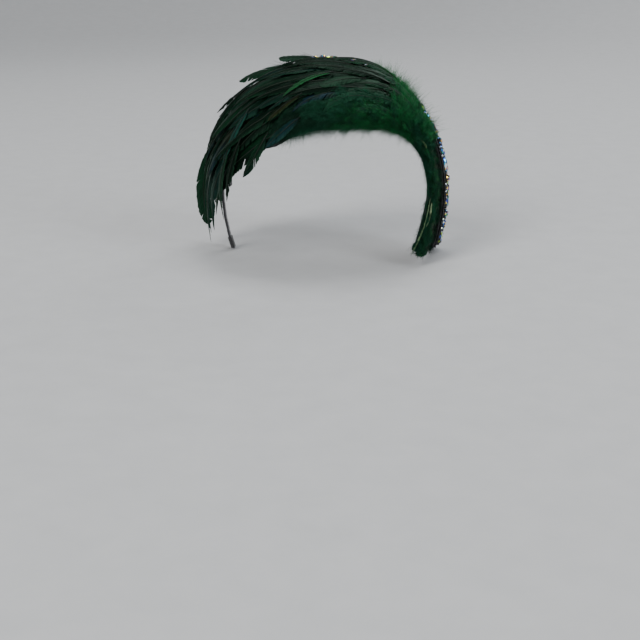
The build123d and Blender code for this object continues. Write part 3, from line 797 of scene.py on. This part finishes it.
def all_down(bright, mid, dark, black):
    """All the down. Its tufts get shorter towards the trim, so that the stones stand clear."""
    rng = np.random.default_rng(33)
    shorter = ((22, 1), (36, 0.9), (44, 0.75), (50, 0.55), (68, 0.5))
    down("crown_down_roots", mid, 8000, rng, box_region(38, 68, 1, 0, 6, 9), (8, 13),
         (0.6, 0.6, 0.4, 0.35), ["crown_fluff"], fade=shorter)
    down("crown_down_middle", mid, 8000, rng, box_region(36, 64, 3, 2, 8, 11), (9, 16),
         (0.7, 0.8, 0.3, 0.4), radius=0.11, clump=0.8, fade=shorter)
    down("crown_down_tips", bright, 8000, rng, box_region(36, 64, 6, 1, 8, 11), (10, 19),
         (0.85, 0.7, 0.1, 0.36), radius=0.11, per_tuft=22, clump=0.85, fade=shorter)
    down("crown_down_rear", bright, 6000, rng, rear_region(24, 50, -6, 2, 7, 11), (8, 15),
         (1.0, 0.45, -0.25, 0.34), radius=0.11, per_tuft=22, clump=0.85, fade=shorter)
    down("crown_down_wisps", bright, 900, rng, rear_region(26, 62, -14, 0, 8, 12), (14, 26),
         (1.0, 0.3, -0.1, 0.3), radius=0.08, per_tuft=3, clump=0.2,
         fade=((26, 0.8), (34, 1), (48, 0.7), (62, 0.6)))
    down("front_down_left", mid, 9000, rng, edge_region(10, 56, 0, 26, 6, 10), (8, 16),
         (0.4, 0.9, 0.4, 0.34), ["front_edge_down"], clump=0.75)
    down("front_down_right", dark, 8000, rng, edge_region(-34, 20, -1, 14, 6, 9), (6, 12),
         (0.25, 0.9, 0.6, 0.3))
    down("front_down_bright", bright, 3600, rng, edge_region(0, 50, -1, 12, 8, 11), (8, 15),
         (0.5, 0.7, 0.5, 0.34), radius=0.09, per_tuft=16, clump=0.8,
         fade=((0, 0.3), (30, 1)))
    down("front_down_edge", mid, 9000, rng, edge_region(-30, 56, -2, 3, 4, 7), (5, 11),
         (0.0, 0.55, 1.0, 0.4), radius=0.06, per_tuft=8, clump=0.2)
    down("side_down_roots", dark, 7000, rng, edge_region(56, 111, 2, 20, 5.6, 8), (4, 8),
         (0.4, -0.6, 0.8, 0.4), ["side_fluff"], clump=0.6)
    down("side_down_edge", mid, 8000, rng, edge_region(54, 112, -2, 9, 5.5, 8.5), (4, 8),
         (0.45, -0.55, 0.85, 0.42), radius=0.085, clump=0.6)
    down("side_down_hem", mid, 4000, rng, edge_region(54, 112, -1, 2, 3, 6), (3, 6),
         (0.1, -0.4, 1.0, 0.4), radius=0.07, per_tuft=8, clump=0.2)
    down("side_down_bright", bright, 2400, rng, edge_region(56, 112, 0, 11, 6.5, 9), (4, 8),
         (0.4, -0.6, 0.8, 0.4), radius=0.09, per_tuft=16, clump=0.8,
         fade=((56, 1), (75, 0.9), (95, 0.75), (112, 0.7)))
    down("side_down_rear", black, 7000, rng, rear_region(54, 111, -16, 1, 5.4, 8), (4, 8),
         (0.3, -0.5, 0.7, 0.35), clump=0.6)
    down("crown_loose_barbs", dark, 160, rng, rear_region(-25, -5, -8, 0, 15, 17), (8, 14),
         (0.45, 1.0, 0.0, 0.3), radius=0.06, per_tuft=2, clump=0.1)
    # The fringe on the lower front edge uses the bright down: partly its own colour, partly painted light
    # that offsets the shade on this downward-facing edge.
    down("front_down_fringe", bright, 5600, rng, edge_region(-4, 56, -2, 3, 5, 8), (6, 12),
         (0.2, 0.5, 1.0, 0.4), radius=0.07, per_tuft=10, clump=0.4,
         fade=((-4, 0.35), (28, 1)))
    down("front_down_middle", mid, 4000, rng, edge_region(-15, 16, -1, 12, 8, 10.5), (7, 13),
         (0.4, 0.9, 0.4, 0.4), per_tuft=18,
         fade=((-15, 0.5), (6, 1)))


# --- Base and headband ---

def lining(cloth):
    """The lining: one bias-cut sheet stretched under the base, puckered along its sewn edges."""
    rng = np.random.default_rng(5)
    angles = np.linspace(BASE_LEFT - 1, BASE_RIGHT + 1, 420)
    shares = np.linspace(0, 1, 60)
    wave = np.interp(angles, np.linspace(BASE_RIGHT, BASE_LEFT, 130), rng.normal(0, 1, 130))
    edge = np.minimum(shares, 1 - shares)[None, :]
    pucker = wave[:, None] * np.exp(-edge / 0.16) * np.clip(edge / 0.02, 0, 1) * 0.55 * MM
    slack = np.interp(angles[:, None] + 22 * shares[None, :],
                      np.linspace(BASE_RIGHT, BASE_LEFT + 22, 60), rng.normal(0, 0.35, 60)) * MM
    sag = np.sin(pi * shares)[None, :] * (0.15 * MM + np.abs(slack))
    near = front(angles)[:, None] + LINING_INSET
    depth = near + (back(angles)[:, None] - LINING_INSET - near) * shares[None, :]
    loose = np.clip((np.abs(depth) - BAND_WIDTH / 2 - 0.5 * MM) / (4 * MM), 0, 1)
    points = seat(angles[:, None], depth, LINING_LIFT - 0.2 * MM - (np.abs(pucker) + sag) * loose)
    arc = run_along(points[:, len(shares) // 2])
    detail = detail_rows(arc[:, None] / MM, depth / MM)
    batch = Batch()
    batch.grid(points, detail)
    piece = batch.piece("lining_sheet", cloth, "lining_satin", ["base_lining"])


def binding(cloth):
    """Ribbed ribbon folded over the edge of the base, along both sides and across both ends."""
    low, high, leg = LINING_LIFT - 0.35 * MM, SHELL_TOP + 0.3 * MM, 5.0 * MM
    half = (high - low) / 2
    turn = np.linspace(-pi / 2, pi / 2, 9)
    fold_in = np.concatenate([[leg], half * 0.5 * (1 - np.cos(turn)), [leg]])
    fold_up = np.concatenate([[low], (low + high) / 2 + half * np.sin(turn), [high]])
    around = np.arange(len(fold_in)) * 0.8
    rng = np.random.default_rng(9)
    angles = np.linspace(BASE_LEFT, BASE_RIGHT, 460)
    batch = Batch()
    for edge, hand in ((front, 1), (back, -1)):
        ease = np.interp(angles, np.linspace(BASE_RIGHT, BASE_LEFT, 90),
                         rng.normal(0, 0.12, 90))[:, None] * MM
        depth = edge(angles)[:, None] + hand * (fold_in[None, :] + ease)
        points = seat(angles[:, None], depth, fold_up[None, :])
        arc = run_along(points[:, 5])
        batch.grid(points, detail_rows(arc[:, None] / MM, around), way=hand)
    for end, hand in ((BASE_LEFT, -1), (BASE_RIGHT, 1)):
        depths = np.linspace(front(end), back(end), 40)
        angle = end + hand * np.degrees(fold_in[None, :] / HALF_WIDTH)
        points = seat(angle, depths[:, None], fold_up[None, :])
        batch.grid(points, detail_rows(depths[:, None] / MM, around), way=-hand)
    batch.piece("edge_binding", cloth, "binding_grosgrain", ["base_binding"], thick=0.25 * MM)


def thread_bars(name, thread, lines, radius, replaces=()):
    """Short stitches: each a round thread through a few points."""
    batch = Batch()
    for points, normals in lines:
        batch.add(*tube(points, np.full(len(points), radius), normals, 6))
    batch.piece(name, thread, "sewing_thread", replaces)


def stitches(thread):
    """Bars that hold the band to the base, and slip stitches along the binding's inner leg."""
    lines = []
    reach = BAND_WIDTH / 2 + 0.3 * MM
    for angle in np.linspace(*STITCH_ANGLES, STITCHES):
        for turn in (-0.35, 0.0, 0.35):
            depth = np.array([-1.0, -1.02, -0.96, -0.5, 0, 0.5, 0.96, 1.02, 1.0]) * reach
            lift = np.array([2.8, 1.2, -0.15, -0.3, -0.32, -0.3, -0.15, 1.2, 2.8]) * MM
            lean = np.linspace(-0.4, 0.4, 9) * (1 if turn else 0)
            place = (angle + turn + lean, depth, lift)
            lines.append((seat(*place), outward(angle, 0 * depth, lift) + np.array([0, 0.05, 0])))
    thread_bars("band_stitches", thread, lines, 0.2 * MM, ["headband_stitches"])
    slips = []
    for edge, hand in ((front, 1), (back, -1)):
        for angle in np.arange(BASE_RIGHT + 3, BASE_LEFT - 2, 2.2):
            s = np.linspace(0, 1, 5)
            depth = edge(angle) + hand * (4.4 + 1.2 * s) * MM
            lift = LINING_LIFT - (0.42 + 0.14 * np.sin(pi * s)) * MM
            at = angle + 0.5 * s
            slips.append((seat(at, depth, lift), outward(at, depth, lift)))
    thread_bars("binding_stitches", thread, slips, 0.16 * MM)


def headband(satin):
    """The satin-covered band: a ribbon wound round the strip, with a step at each turn."""
    angles = np.linspace(-BAND_END, BAND_END, 900)
    around = np.linspace(0, 2 * pi, BAND_SIDES, endpoint=False)
    across = blunt(np.cos(around), 0.35) * BAND_WIDTH / 2
    rise = (blunt(np.sin(around), 0.6) + 1) * BAND_THICKNESS / 2
    arc = np.radians(angles) * 0.5 * (HALF_WIDTH + CROWN_RISE)
    wind = np.mod(arc[:, None] / BAND_TURN + around[None, :] / (2 * pi), 1)
    step = (wind - 0.5) * 0.45 * MM + 0.05 * MM * np.sin(wind * 25)
    scale = 0.94 + step / BAND_THICKNESS
    depth = across[None, :] * (0.98 + step / BAND_WIDTH)
    lift = BAND_THICKNESS / 2 + (rise[None, :] - BAND_THICKNESS / 2) * scale
    points = seat(angles[:, None], depth, lift)
    detail = detail_rows(arc[:, None] / MM, np.arange(BAND_SIDES) * 0.8)
    batch = Batch()
    batch.grid(points, detail, closed=True)
    batch.piece("band_satin_winding", satin, "black_satin", ["headband_wrap"])


# --- Jewelled trim ---

def felt_strip(felt):
    """The felt under the stones, with softly rounded cut edges."""
    angles = np.linspace(TRIM_START, TRIM_END, 420)
    turn = np.linspace(0, 2 * pi, 40, endpoint=False)
    across = blunt(np.cos(turn), 0.22) * BACKING_HALF
    rise = BACKING_TOP - MM + blunt(np.sin(turn), 0.5) * MM
    rng = np.random.default_rng(12)
    rough = rng.normal(0, 0.05, (len(angles), len(turn))) * MM
    cut = np.interp(angles, np.linspace(TRIM_END, TRIM_START, 120), rng.normal(0, 0.18, 120))
    depth = trim(angles)[:, None] + across[None, :] + cut[:, None] * np.cos(turn)[None, :] * MM
    points = seat(angles[:, None], depth, rise[None, :] + rough)
    batch = Batch()
    batch.grid(points, closed=True)
    batch.piece("trim_felt_strip", felt, "trim_felt", ["trim_backing"])


def bead_shape():
    """A seed bead round the X axis: a ring with rounded ends."""
    turn = np.arange(BEAD_SIDES) * 2 * pi / BEAD_SIDES
    middle, half = (BEAD_RADIUS + BEAD_HOLE) / 2, (BEAD_RADIUS - BEAD_HOLE) / 2
    run = BEAD_LENGTH / 2 * blunt(np.cos(turn), 0.6)
    out = middle + half * blunt(np.sin(turn), 0.6)
    verts = detail_rows(run, out * np.cos(turn)[:, None], out * np.sin(turn)[:, None])
    return verts.reshape(-1, 3), grid_quads(BEAD_SIDES + 1, BEAD_SIDES, closed=True) % BEAD_SIDES**2


def edge_beads(glass):
    """Seed beads sewn side by side along both edges of the felt."""
    rng = np.random.default_rng(14)
    verts, quads = bead_shape()
    fine = np.linspace(TRIM_START, TRIM_END, 1000)
    run = run_along(seat(fine, trim(fine), BACKING_TOP))
    stops = np.arange(BEAD_STEP, run[-1] - BEAD_STEP, BEAD_STEP)
    batch = Batch()
    for hand in (-1, 1):
        for angle in np.interp(stops, run, fine):
            depth = trim(angle) + (hand * (BACKING_HALF - BEAD_RADIUS) + rng.normal(0, 0.12) * MM)
            lift = BACKING_TOP + 0.85 * MM + rng.normal(0, 0.08) * MM
            along = unit(seat(angle + 0.4, depth, lift) - seat(angle - 0.4, depth, lift))
            normal = outward(angle, depth, lift)
            side = np.cross(normal, along)
            tip = rng.normal(0, 0.14, 2)
            along = unit(along + side * tip[0] + normal * tip[1])
            side = unit(np.cross(normal, along))
            normal = np.cross(along, side)
            turned = verts * np.array([rng.uniform(0.85, 1.05), 1, 1])
            batch.add(seat(angle, depth, lift) + turned @ np.stack([along, side, normal]), quads)
    batch.piece("edge_seed_beads", glass, "jet_bead", ["trim_edge_beads"])


# --- Stage ---

def area_light(name, place, aim, size, power, colour=(1, 1, 1)):
    light = bpy.data.lights.new(name, "AREA")
    light.shape, light.size, light.size_y = "RECTANGLE", size[0], size[1]
    light.energy, light.color = power, colour
    lamp = bpy.data.objects.new(name, light)
    lamp.location = place
    lamp.rotation_euler = (Vector(aim) - Vector(place)).to_track_quat("-Z", "Y").to_euler()
    bpy.context.scene.collection.objects.link(lamp)


def stage():
    """A plain pale floor that curves up into a wall all round, soft lights and the camera."""
    floor_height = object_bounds()[0].z - 0.5 * MM
    bend = np.linspace(0, pi / 2, 13)
    reach = np.concatenate([[0.02, 1.0, 2.2], 2.4 + 2.4 * np.sin(bend[1:]), [4.8]])
    rise = np.concatenate([[0, 0, 0], 2.4 * (1 - np.cos(bend[1:])), [4.0]])
    turn = np.arange(72) * 2 * pi / 72
    verts = np.stack([reach[:, None] * np.cos(turn), reach[:, None] * np.sin(turn),
                      floor_height + np.broadcast_to(rise[:, None], (len(rise), 72))], -1)
    floor = new_piece("floor", verts, grid_quads(len(reach), 72, closed=True),
                      np.array([(0, i + 1, i) for i in range(1, 71)]))
    made, tree, shader = material("pale_floor", Roughness=0.8)
    speck = noise(tree, place_of(tree), 40.0, 3.0, 0.6)
    tree.links.new(ramp(tree, speck, [(0.3, (0.5, 0.51, 0.52)), (0.7, (0.53, 0.54, 0.55))]),
                   shader.inputs["Base Color"])
    floor.data.materials.append(made)
    floor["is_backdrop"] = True

    world = bpy.data.worlds.new("studio")
    bpy.context.scene.world = world
    world.use_nodes = True
    sky = world.node_tree.nodes["Background"].inputs
    sky[0].default_value = (0.6, 0.62, 0.65, 1)
    sky[1].default_value = 0.35
    centre = (0, 0, 0.08)
    area_light("key_softbox", (-1.9, -2.4, 2.4), centre, (1.4, 2.0), 105, (1, 0.98, 0.95))
    area_light("fill_softbox", (2.4, -1.8, 1.5), centre, (1.2, 2.0), 50, (0.94, 0.97, 1))
    area_light("top_softbox", (0.4, 0.8, 3.0), centre, (2.0, 1.5), 50)
    area_light("rear_softbox", (1.6, 2.6, 1.7), centre, (1.5, 1.5), 22)

    head_centre = Vector((0, 0, 0.0489))
    seen_from = np.radians(11.0)
    pitch = np.radians(17.5)
    distance = 0.97
    cam = bpy.data.cameras.new("camera")
    cam.sensor_width, cam.lens = 36.0, 64.0
    camera = bpy.data.objects.new("camera", cam)
    camera.location = head_centre + Vector((-0.006, -distance * np.cos(seen_from),
                                            distance * np.sin(seen_from)))
    camera.rotation_euler = (pi / 2 - pitch, 0, 0)
    bpy.context.scene.collection.objects.link(camera)
    bpy.context.scene.camera = camera


# --- The whole headpiece ---

# The edge colours given to the vane materials are painted highlights along their vane edges.
vane_green = vane_material("coque_vane_green", [
    (0.0, NEAR_BLACK), (0.35, DEEP_GREEN), (0.6, GREEN), (0.72, DEEP_GREEN), (0.95, TEAL)])
vane_dark = vane_material("coque_vane_dark", [
    (0.0, NEAR_BLACK), (0.4, DEEP_GREEN), (0.55, NEAR_BLACK), (0.7, BLUE), (0.8, NEAR_BLACK),
    (0.95, BRONZE)])
vane_teal = vane_material("coque_vane_teal", [
    (0.0, NEAR_BLACK), (0.35, DEEP_GREEN), (0.55, TEAL), (0.7, NEAR_BLACK), (0.95, GREEN)])
accents = {
    "dark": vane_green,
    "rear": vane_dark,
    "leaf": vane_material("coque_vane_leaf", [(0.0, GREEN), (0.6, LEAF)], roughness=0.45),
    # Painted sheen: the grey, bronze, blue and teal vanes are partly the feathers' iridescence and partly
    # painted sheen and reflections.
    "grey": vane_material("coque_vane_matte", [(0.0, DEEP_GREEN), (0.6, MOSS)], roughness=0.5),
    "bronze": vane_material("coque_vane_bronze", [(0.0, NEAR_BLACK), (0.25, BRONZE)]),
    "blue": vane_material("coque_vane_blue", [(0.0, NEAR_BLACK), (0.2, BLUE), (0.8, TEAL)]),
    "teal": vane_material("coque_vane_bright_teal", [(0.1, TEAL), (0.7, SEA)]),
    "plume": vane_material("hackle_vane_soft", [(0.1, DEEP_GREEN), (0.7, SPRUCE)], metallic=0.0,
                           roughness=0.55, edge=(0.02, 0.075, 0.04)),
    "pale": vane_material("hackle_vane_pale", [(0.1, SAGE), (0.7, CREAM)], metallic=0.0,
                          roughness=0.6, edge=(0.2, 0.3, 0.16)),
}
hackle_dark = vane_material("hackle_vane_black", [
    (0.0, NEAR_BLACK), (0.5, DEEP_GREEN), (0.9, (0.0015, 0.012, 0.006))],
    metallic=0.0, roughness=0.5, edge=(0.003, 0.018, 0.008))
hackle_vane = vane_material("hackle_vane_bright", [
    (0.0, NEAR_BLACK), (0.4, (0.0015, 0.014, 0.006)), (0.8, (0.004, 0.04, 0.014))],
    metallic=0.0, roughness=0.5, edge=(0.006, 0.06, 0.02))
dark_quill = quill_material("coque_quill_dark", (0.002, 0.004, 0.003), (0.011, 0.021, 0.012))
pale_quill = quill_material("hackle_quill_pale", (0.004, 0.012, 0.005), (0.034, 0.07, 0.026))
bright_down = fibre_material("down_bright", [
    (0.0, (0.0006, 0.006, 0.0028)), (0.4, (0.0022, 0.036, 0.012)), (0.8, (0.015, 0.19, 0.048))])
mid_down = fibre_material("down_mid", [
    (0.0, (0.0006, 0.006, 0.0035)), (0.5, (0.0026, 0.034, 0.018)), (0.9, (0.01, 0.105, 0.052))])
dark_down = fibre_material("down_dark", [
    (0.0, (0.0006, 0.003, 0.0022)), (0.5, (0.0016, 0.015, 0.008)), (0.9, (0.005, 0.046, 0.022))])
black_down = fibre_material("down_black", [
    (0.0, (0.0006, 0.0012, 0.0009)), (0.5, (0.001, 0.0034, 0.0018)),
    (0.9, (0.0026, 0.011, 0.0055))])
satin = cloth_material("satin_black", (0.005, 0.005, 0.007), (0.024, 0.024, 0.029), 0.3, 0.24,
                       roughness=0.3, sheen=0.05, depth=0.02, twill=1.0, gloss=0.55)
lining_cloth = cloth_material("lining_black", (0.004, 0.005, 0.007), (0.034, 0.037, 0.043), 1.4, 0.7,
                              roughness=0.34, sheen=0.05, depth=0.06, twill=0.7, gloss=0.5)
grosgrain = cloth_material("binding_black", (0.003, 0.004, 0.005), (0.028, 0.03, 0.033),
                           1.0, 3.0, roughness=0.5, sheen=0.05, depth=0.18)
thread = solid_cloth_material("thread_black", (0.01, 0.01, 0.012), (0.05, 0.05, 0.055), 2500.0)
felt = solid_cloth_material("felt_black", (0.004, 0.004, 0.005), (0.022, 0.022, 0.024), 1400.0)
tape = solid_cloth_material("tape_black", (0.006, 0.007, 0.007), (0.03, 0.033, 0.032), 900.0)
buckram = solid_cloth_material("buckram_black", (0.006, 0.007, 0.007), (0.03, 0.032, 0.03), 700.0)
rubber = solid_cloth_material("rubber_black", (0.01, 0.01, 0.011), (0.02, 0.02, 0.022),
                              600.0, roughness=0.6, depth=0.05)
jet_glass = metal_material("jet_glass", (0.008, 0.008, 0.01), 0.12, metallic=0.2)
jet_metal = metal_material("jet_metal", (0.02, 0.02, 0.024), 0.28)
wire_metal = metal_material("wire_black", (0.02, 0.02, 0.02), 0.5)
steel = metal_material("steel_strip", (0.35, 0.36, 0.38), 0.3)
# Crystal facet colours: the bright coloured and white stops are painted flashes and glints of reflected
# light over the coating's tint.
rainbow = crystal_material("crystal_rainbow", [
    (0.0, (0.004, 0.006, 0.012)), (0.34, (0.02, 0.1, 0.55)), (0.46, (0.03, 0.45, 0.7)),
    (0.56, (0.04, 0.4, 0.16)), (0.64, (0.55, 0.8, 0.06)), (0.72, (0.95, 0.62, 0.06)),
    (0.78, (0.3, 0.1, 0.62)), (0.85, (0.8, 0.9, 0.98)), (0.92, (0.9, 0.3, 0.34)),
    (0.96, (0.01, 0.02, 0.03))], 1.7)
clear = crystal_material("crystal_clear", [
    (0.0, (0.05, 0.06, 0.07)), (0.3, (0.85, 0.9, 0.95)), (0.55, (0.35, 0.55, 0.75)),
    (0.7, (0.95, 0.97, 1.0)), (0.88, (0.65, 0.8, 0.4))], 4.2)

coque_rows([vane_green, vane_dark, vane_teal], dark_quill)
single_feathers(accents, dark_quill)
side_hackles(hackle_vane, hackle_dark, pale_quill)
all_down(bright_down, mid_down, dark_down, black_down)
lining(lining_cloth)
binding(grosgrain)
headband(satin)
stitches(thread)
felt_strip(felt)
edge_beads(jet_glass)
for look, names in ((steel, "headband_core"), (buckram, "base_shell"), (wire_metal, "base_wire"),
                    (tape, "feather_root_tape"), (clear, "chaton_crystals"),
                    (rubber, "headband_tip_left headband_tip_right"),
                    (rainbow, "navette_crystals pear_crystals round_crystals"),
                    (jet_metal, "navette_settings pear_settings round_settings chaton_settings")):
    for name in names.split():
        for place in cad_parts[name].material_slots:
            place.material = look
stage()
